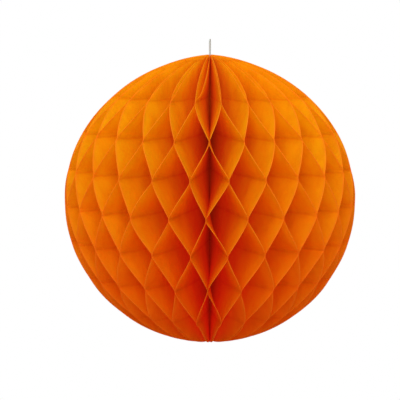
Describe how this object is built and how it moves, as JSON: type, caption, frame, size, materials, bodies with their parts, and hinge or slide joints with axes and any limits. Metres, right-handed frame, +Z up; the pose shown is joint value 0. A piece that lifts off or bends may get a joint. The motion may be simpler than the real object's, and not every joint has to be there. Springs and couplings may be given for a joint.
{
  "type": "paper honeycomb ball",
  "caption": "hanging ball of glued tissue-paper leaves that fans out from a flat half-disc into a round honeycomb, with a thread loop to hang it by",
  "frame": {"origin": "the inside of the hanging loop's crown, where a hook bears; the ball's centre is 110.6 mm below it on the Z axis", "axes": "+Z up along the thread and the ball's spine; -Y is the front; the seam where the two covers meet faces +Y, with the fixed cover on its -X side and the swinging cover on its +X side"},
  "size_m": [0.203, 0.2027, 0.211],
  "materials": {
    "tissue": "matte",
    "card": "matte",
    "adhesive_strip": "satin",
    "thread": "matte"
  },
  "bodies": {
    "fixed_cover": {"fixed_cover": "card", "closure_tape_upper": "adhesive_strip", "closure_tape_middle": "adhesive_strip", "closure_tape_lower": "adhesive_strip", "spine_thread": "thread", "top_knot": "thread", "bottom_knot": "thread", "hanging_loop": "thread"},
    "leaf_01": {"leaf_01": "tissue"},
    "leaf_02": {"leaf_02": "tissue"},
    "leaf_03": {"leaf_03": "tissue"},
    "leaf_04": {"leaf_04": "tissue"},
    "leaf_05": {"leaf_05": "tissue"},
    "leaf_06": {"leaf_06": "tissue"},
    "leaf_07": {"leaf_07": "tissue"},
    "leaf_08": {"leaf_08": "tissue"},
    "leaf_09": {"leaf_09": "tissue"},
    "leaf_10": {"leaf_10": "tissue"},
    "leaf_11": {"leaf_11": "tissue"},
    "leaf_12": {"leaf_12": "tissue"},
    "leaf_13": {"leaf_13": "tissue"},
    "leaf_14": {"leaf_14": "tissue"},
    "leaf_15": {"leaf_15": "tissue"},
    "leaf_16": {"leaf_16": "tissue"},
    "leaf_17": {"leaf_17": "tissue"},
    "leaf_18": {"leaf_18": "tissue"},
    "leaf_19": {"leaf_19": "tissue"},
    "leaf_20": {"leaf_20": "tissue"},
    "leaf_21": {"leaf_21": "tissue"},
    "leaf_22": {"leaf_22": "tissue"},
    "leaf_23": {"leaf_23": "tissue"},
    "leaf_24": {"leaf_24": "tissue"},
    "leaf_25": {"leaf_25": "tissue"},
    "leaf_26": {"leaf_26": "tissue"},
    "leaf_27": {"leaf_27": "tissue"},
    "leaf_28": {"leaf_28": "tissue"},
    "leaf_29": {"leaf_29": "tissue"},
    "leaf_30": {"leaf_30": "tissue"},
    "leaf_31": {"leaf_31": "tissue"},
    "leaf_32": {"leaf_32": "tissue"},
    "leaf_33": {"leaf_33": "tissue"},
    "leaf_34": {"leaf_34": "tissue"},
    "leaf_35": {"leaf_35": "tissue"},
    "leaf_36": {"leaf_36": "tissue"},
    "leaf_37": {"leaf_37": "tissue"},
    "leaf_38": {"leaf_38": "tissue"},
    "leaf_39": {"leaf_39": "tissue"},
    "leaf_40": {"leaf_40": "tissue"},
    "leaf_41": {"leaf_41": "tissue"},
    "leaf_42": {"leaf_42": "tissue"},
    "leaf_43": {"leaf_43": "tissue"},
    "leaf_44": {"leaf_44": "tissue"},
    "leaf_45": {"leaf_45": "tissue"},
    "leaf_46": {"leaf_46": "tissue"},
    "leaf_47": {"leaf_47": "tissue"},
    "leaf_48": {"leaf_48": "tissue"},
    "swing_cover": {"swing_cover": "card"}
  },
  "joints": [
    {"name": "leaf_01_fold", "type": "hinge", "parent": "fixed_cover", "child": "leaf_01", "pos_m": [-0.00036, 0.00022, -0.1106], "axis": [0, 0, 1], "range_deg": [-3.75, 0], "deforming": ["leaf_01"]},
    {"name": "leaf_02_fold", "type": "hinge", "parent": "fixed_cover", "child": "leaf_02", "pos_m": [-0.00037, 0.0002, -0.1106], "axis": [0, 0, 1], "range_deg": [-11.25, 0], "deforming": ["leaf_02"]},
    {"name": "leaf_03_fold", "type": "hinge", "parent": "fixed_cover", "child": "leaf_03", "pos_m": [-0.00039, 0.00019, -0.1106], "axis": [0, 0, 1], "range_deg": [-18.75, 0], "deforming": ["leaf_03"]},
    {"name": "leaf_04_fold", "type": "hinge", "parent": "fixed_cover", "child": "leaf_04", "pos_m": [-0.0004, 0.00018, -0.1106], "axis": [0, 0, 1], "range_deg": [-26.25, 0], "deforming": ["leaf_04"]},
    {"name": "leaf_05_fold", "type": "hinge", "parent": "fixed_cover", "child": "leaf_05", "pos_m": [-0.00042, 0.00016, -0.1106], "axis": [0, 0, 1], "range_deg": [-33.75, 0], "deforming": ["leaf_05"]},
    {"name": "leaf_06_fold", "type": "hinge", "parent": "fixed_cover", "child": "leaf_06", "pos_m": [-0.00043, 0.00015, -0.1106], "axis": [0, 0, 1], "range_deg": [-41.25, 0], "deforming": ["leaf_06"]},
    {"name": "leaf_07_fold", "type": "hinge", "parent": "fixed_cover", "child": "leaf_07", "pos_m": [-0.00044, 0.00013, -0.1106], "axis": [0, 0, 1], "range_deg": [-48.75, 0], "deforming": ["leaf_07"]},
    {"name": "leaf_08_fold", "type": "hinge", "parent": "fixed_cover", "child": "leaf_08", "pos_m": [-0.00046, 0.00012, -0.1106], "axis": [0, 0, 1], "range_deg": [-56.25, 0], "deforming": ["leaf_08"]},
    {"name": "leaf_09_fold", "type": "hinge", "parent": "fixed_cover", "child": "leaf_09", "pos_m": [-0.00047, 0.0001, -0.1106], "axis": [0, 0, 1], "range_deg": [-63.75, 0], "deforming": ["leaf_09"]},
    {"name": "leaf_10_fold", "type": "hinge", "parent": "fixed_cover", "child": "leaf_10", "pos_m": [-0.00049, 0.00008, -0.1106], "axis": [0, 0, 1], "range_deg": [-71.25, 0], "deforming": ["leaf_10"]},
    {"name": "leaf_11_fold", "type": "hinge", "parent": "fixed_cover", "child": "leaf_11", "pos_m": [-0.0005, 0.00006, -0.1106], "axis": [0, 0, 1], "range_deg": [-78.75, 0], "deforming": ["leaf_11"]},
    {"name": "leaf_12_fold", "type": "hinge", "parent": "fixed_cover", "child": "leaf_12", "pos_m": [-0.00052, 0.00004, -0.1106], "axis": [0, 0, 1], "range_deg": [-86.25, 0], "deforming": ["leaf_12"]},
    {"name": "leaf_13_fold", "type": "hinge", "parent": "fixed_cover", "child": "leaf_13", "pos_m": [-0.00053, 0.00002, -0.1106], "axis": [0, 0, 1], "range_deg": [-93.75, 0], "deforming": ["leaf_13"]},
    {"name": "leaf_14_fold", "type": "hinge", "parent": "fixed_cover", "child": "leaf_14", "pos_m": [-0.00055, 0, -0.1106], "axis": [0, 0, 1], "range_deg": [-101.25, 0], "deforming": ["leaf_14"]},
    {"name": "leaf_15_fold", "type": "hinge", "parent": "fixed_cover", "child": "leaf_15", "pos_m": [-0.00056, -0.00003, -0.1106], "axis": [0, 0, 1], "range_deg": [-108.75, 0], "deforming": ["leaf_15"]},
    {"name": "leaf_16_fold", "type": "hinge", "parent": "fixed_cover", "child": "leaf_16", "pos_m": [-0.00058, -0.00005, -0.1106], "axis": [0, 0, 1], "range_deg": [-116.25, 0], "deforming": ["leaf_16"]},
    {"name": "leaf_17_fold", "type": "hinge", "parent": "fixed_cover", "child": "leaf_17", "pos_m": [-0.00059, -0.00008, -0.1106], "axis": [0, 0, 1], "range_deg": [-123.75, 0], "deforming": ["leaf_17"]},
    {"name": "leaf_18_fold", "type": "hinge", "parent": "fixed_cover", "child": "leaf_18", "pos_m": [-0.00061, -0.00011, -0.1106], "axis": [0, 0, 1], "range_deg": [-131.25, 0], "deforming": ["leaf_18"]},
    {"name": "leaf_19_fold", "type": "hinge", "parent": "fixed_cover", "child": "leaf_19", "pos_m": [-0.00062, -0.00014, -0.1106], "axis": [0, 0, 1], "range_deg": [-138.75, 0], "deforming": ["leaf_19"]},
    {"name": "leaf_20_fold", "type": "hinge", "parent": "fixed_cover", "child": "leaf_20", "pos_m": [-0.00063, -0.00017, -0.1106], "axis": [0, 0, 1], "range_deg": [-146.25, 0], "deforming": ["leaf_20"]},
    {"name": "leaf_21_fold", "type": "hinge", "parent": "fixed_cover", "child": "leaf_21", "pos_m": [-0.00065, -0.00021, -0.1106], "axis": [0, 0, 1], "range_deg": [-153.75, 0], "deforming": ["leaf_21"]},
    {"name": "leaf_22_fold", "type": "hinge", "parent": "fixed_cover", "child": "leaf_22", "pos_m": [-0.00066, -0.00025, -0.1106], "axis": [0, 0, 1], "range_deg": [-161.25, 0], "deforming": ["leaf_22"]},
    {"name": "leaf_23_fold", "type": "hinge", "parent": "fixed_cover", "child": "leaf_23", "pos_m": [-0.00068, -0.00028, -0.1106], "axis": [0, 0, 1], "range_deg": [-168.75, 0], "deforming": ["leaf_23"]},
    {"name": "leaf_24_fold", "type": "hinge", "parent": "fixed_cover", "child": "leaf_24", "pos_m": [-0.00069, -0.00033, -0.1106], "axis": [0, 0, 1], "range_deg": [-176.25, 0], "deforming": ["leaf_24"]},
    {"name": "leaf_25_fold", "type": "hinge", "parent": "leaf_24", "child": "leaf_25", "pos_m": [0, -0.00057, -0.1106], "axis": [0, 0, 1], "range_deg": [-7.5, 0], "deforming": ["leaf_25"]},
    {"name": "leaf_26_fold", "type": "hinge", "parent": "leaf_24", "child": "leaf_26", "pos_m": [0.00003, -0.00057, -0.1106], "axis": [0, 0, 1], "range_deg": [-15, 0], "deforming": ["leaf_26"]},
    {"name": "leaf_27_fold", "type": "hinge", "parent": "leaf_24", "child": "leaf_27", "pos_m": [0.00005, -0.00057, -0.1106], "axis": [0, 0, 1], "range_deg": [-22.5, 0], "deforming": ["leaf_27"]},
    {"name": "leaf_28_fold", "type": "hinge", "parent": "leaf_24", "child": "leaf_28", "pos_m": [0.00008, -0.00057, -0.1106], "axis": [0, 0, 1], "range_deg": [-30, 0], "deforming": ["leaf_28"]},
    {"name": "leaf_29_fold", "type": "hinge", "parent": "leaf_24", "child": "leaf_29", "pos_m": [0.00011, -0.00057, -0.1106], "axis": [0, 0, 1], "range_deg": [-37.5, 0], "deforming": ["leaf_29"]},
    {"name": "leaf_30_fold", "type": "hinge", "parent": "leaf_24", "child": "leaf_30", "pos_m": [0.00013, -0.00057, -0.1106], "axis": [0, 0, 1], "range_deg": [-45, 0], "deforming": ["leaf_30"]},
    {"name": "leaf_31_fold", "type": "hinge", "parent": "leaf_24", "child": "leaf_31", "pos_m": [0.00016, -0.00057, -0.1106], "axis": [0, 0, 1], "range_deg": [-52.5, 0], "deforming": ["leaf_31"]},
    {"name": "leaf_32_fold", "type": "hinge", "parent": "leaf_24", "child": "leaf_32", "pos_m": [0.00019, -0.00056, -0.1106], "axis": [0, 0, 1], "range_deg": [-60, 0], "deforming": ["leaf_32"]},
    {"name": "leaf_33_fold", "type": "hinge", "parent": "leaf_24", "child": "leaf_33", "pos_m": [0.00021, -0.00056, -0.1106], "axis": [0, 0, 1], "range_deg": [-67.5, 0], "deforming": ["leaf_33"]},
    {"name": "leaf_34_fold", "type": "hinge", "parent": "leaf_24", "child": "leaf_34", "pos_m": [0.00024, -0.00055, -0.1106], "axis": [0, 0, 1], "range_deg": [-75, 0], "deforming": ["leaf_34"]},
    {"name": "leaf_35_fold", "type": "hinge", "parent": "leaf_24", "child": "leaf_35", "pos_m": [0.00027, -0.00055, -0.1106], "axis": [0, 0, 1], "range_deg": [-82.5, 0], "deforming": ["leaf_35"]},
    {"name": "leaf_36_fold", "type": "hinge", "parent": "leaf_24", "child": "leaf_36", "pos_m": [0.0003, -0.00054, -0.1106], "axis": [0, 0, 1], "range_deg": [-90, 0], "deforming": ["leaf_36"]},
    {"name": "leaf_37_fold", "type": "hinge", "parent": "leaf_24", "child": "leaf_37", "pos_m": [0.00033, -0.00053, -0.1106], "axis": [0, 0, 1], "range_deg": [-97.5, 0], "deforming": ["leaf_37"]},
    {"name": "leaf_38_fold", "type": "hinge", "parent": "leaf_24", "child": "leaf_38", "pos_m": [0.00035, -0.00053, -0.1106], "axis": [0, 0, 1], "range_deg": [-105, 0], "deforming": ["leaf_38"]},
    {"name": "leaf_39_fold", "type": "hinge", "parent": "leaf_24", "child": "leaf_39", "pos_m": [0.00038, -0.00052, -0.1106], "axis": [0, 0, 1], "range_deg": [-112.5, 0], "deforming": ["leaf_39"]},
    {"name": "leaf_40_fold", "type": "hinge", "parent": "leaf_24", "child": "leaf_40", "pos_m": [0.00041, -0.00051, -0.1106], "axis": [0, 0, 1], "range_deg": [-120, 0], "deforming": ["leaf_40"]},
    {"name": "leaf_41_fold", "type": "hinge", "parent": "leaf_24", "child": "leaf_41", "pos_m": [0.00045, -0.0005, -0.1106], "axis": [0, 0, 1], "range_deg": [-127.5, 0], "deforming": ["leaf_41"]},
    {"name": "leaf_42_fold", "type": "hinge", "parent": "leaf_24", "child": "leaf_42", "pos_m": [0.00048, -0.00048, -0.1106], "axis": [0, 0, 1], "range_deg": [-135, 0], "deforming": ["leaf_42"]},
    {"name": "leaf_43_fold", "type": "hinge", "parent": "leaf_24", "child": "leaf_43", "pos_m": [0.00051, -0.00047, -0.1106], "axis": [0, 0, 1], "range_deg": [-142.5, 0], "deforming": ["leaf_43"]},
    {"name": "leaf_44_fold", "type": "hinge", "parent": "leaf_24", "child": "leaf_44", "pos_m": [0.00054, -0.00046, -0.1106], "axis": [0, 0, 1], "range_deg": [-150, 0], "deforming": ["leaf_44"]},
    {"name": "leaf_45_fold", "type": "hinge", "parent": "leaf_24", "child": "leaf_45", "pos_m": [0.00058, -0.00044, -0.1106], "axis": [0, 0, 1], "range_deg": [-157.5, 0], "deforming": ["leaf_45"]},
    {"name": "leaf_46_fold", "type": "hinge", "parent": "leaf_24", "child": "leaf_46", "pos_m": [0.00061, -0.00042, -0.1106], "axis": [0, 0, 1], "range_deg": [-165, 0], "deforming": ["leaf_46"]},
    {"name": "leaf_47_fold", "type": "hinge", "parent": "leaf_24", "child": "leaf_47", "pos_m": [0.00065, -0.0004, -0.1106], "axis": [0, 0, 1], "range_deg": [-172.5, 0], "deforming": ["leaf_47"]},
    {"name": "leaf_48_fold", "type": "hinge", "parent": "leaf_24", "child": "leaf_48", "pos_m": [0.00069, -0.00038, -0.1106], "axis": [0, 0, 1], "range_deg": [-180, 0], "deforming": ["leaf_48"]},
    {"name": "swing_cover_fold", "type": "hinge", "parent": "leaf_24", "child": "swing_cover", "pos_m": [0.00071, -0.00037, -0.1106], "axis": [0, 0, 1], "range_deg": [-183.75, 0]}
  ],
  "couplings": [
    {"joint": "leaf_01_fold", "follows": "swing_cover_fold", "ratio": 0.020408},
    {"joint": "leaf_02_fold", "follows": "swing_cover_fold", "ratio": 0.061224},
    {"joint": "leaf_03_fold", "follows": "swing_cover_fold", "ratio": 0.10204},
    {"joint": "leaf_04_fold", "follows": "swing_cover_fold", "ratio": 0.14286},
    {"joint": "leaf_05_fold", "follows": "swing_cover_fold", "ratio": 0.18367},
    {"joint": "leaf_06_fold", "follows": "swing_cover_fold", "ratio": 0.22449},
    {"joint": "leaf_07_fold", "follows": "swing_cover_fold", "ratio": 0.26531},
    {"joint": "leaf_08_fold", "follows": "swing_cover_fold", "ratio": 0.30612},
    {"joint": "leaf_09_fold", "follows": "swing_cover_fold", "ratio": 0.34694},
    {"joint": "leaf_10_fold", "follows": "swing_cover_fold", "ratio": 0.38776},
    {"joint": "leaf_11_fold", "follows": "swing_cover_fold", "ratio": 0.42857},
    {"joint": "leaf_12_fold", "follows": "swing_cover_fold", "ratio": 0.46939},
    {"joint": "leaf_13_fold", "follows": "swing_cover_fold", "ratio": 0.5102},
    {"joint": "leaf_14_fold", "follows": "swing_cover_fold", "ratio": 0.55102},
    {"joint": "leaf_15_fold", "follows": "swing_cover_fold", "ratio": 0.59184},
    {"joint": "leaf_16_fold", "follows": "swing_cover_fold", "ratio": 0.63265},
    {"joint": "leaf_17_fold", "follows": "swing_cover_fold", "ratio": 0.67347},
    {"joint": "leaf_18_fold", "follows": "swing_cover_fold", "ratio": 0.71429},
    {"joint": "leaf_19_fold", "follows": "swing_cover_fold", "ratio": 0.7551},
    {"joint": "leaf_20_fold", "follows": "swing_cover_fold", "ratio": 0.79592},
    {"joint": "leaf_21_fold", "follows": "swing_cover_fold", "ratio": 0.83673},
    {"joint": "leaf_22_fold", "follows": "swing_cover_fold", "ratio": 0.87755},
    {"joint": "leaf_23_fold", "follows": "swing_cover_fold", "ratio": 0.91837},
    {"joint": "leaf_24_fold", "follows": "swing_cover_fold", "ratio": 0.95918},
    {"joint": "leaf_25_fold", "follows": "swing_cover_fold", "ratio": 0.040816},
    {"joint": "leaf_26_fold", "follows": "swing_cover_fold", "ratio": 0.081633},
    {"joint": "leaf_27_fold", "follows": "swing_cover_fold", "ratio": 0.12245},
    {"joint": "leaf_28_fold", "follows": "swing_cover_fold", "ratio": 0.16327},
    {"joint": "leaf_29_fold", "follows": "swing_cover_fold", "ratio": 0.20408},
    {"joint": "leaf_30_fold", "follows": "swing_cover_fold", "ratio": 0.2449},
    {"joint": "leaf_31_fold", "follows": "swing_cover_fold", "ratio": 0.28571},
    {"joint": "leaf_32_fold", "follows": "swing_cover_fold", "ratio": 0.32653},
    {"joint": "leaf_33_fold", "follows": "swing_cover_fold", "ratio": 0.36735},
    {"joint": "leaf_34_fold", "follows": "swing_cover_fold", "ratio": 0.40816},
    {"joint": "leaf_35_fold", "follows": "swing_cover_fold", "ratio": 0.44898},
    {"joint": "leaf_36_fold", "follows": "swing_cover_fold", "ratio": 0.4898},
    {"joint": "leaf_37_fold", "follows": "swing_cover_fold", "ratio": 0.53061},
    {"joint": "leaf_38_fold", "follows": "swing_cover_fold", "ratio": 0.57143},
    {"joint": "leaf_39_fold", "follows": "swing_cover_fold", "ratio": 0.61224},
    {"joint": "leaf_40_fold", "follows": "swing_cover_fold", "ratio": 0.65306},
    {"joint": "leaf_41_fold", "follows": "swing_cover_fold", "ratio": 0.69388},
    {"joint": "leaf_42_fold", "follows": "swing_cover_fold", "ratio": 0.73469},
    {"joint": "leaf_43_fold", "follows": "swing_cover_fold", "ratio": 0.77551},
    {"joint": "leaf_44_fold", "follows": "swing_cover_fold", "ratio": 0.81633},
    {"joint": "leaf_45_fold", "follows": "swing_cover_fold", "ratio": 0.85714},
    {"joint": "leaf_46_fold", "follows": "swing_cover_fold", "ratio": 0.89796},
    {"joint": "leaf_47_fold", "follows": "swing_cover_fold", "ratio": 0.93878},
    {"joint": "leaf_48_fold", "follows": "swing_cover_fold", "ratio": 0.97959}
  ]
}
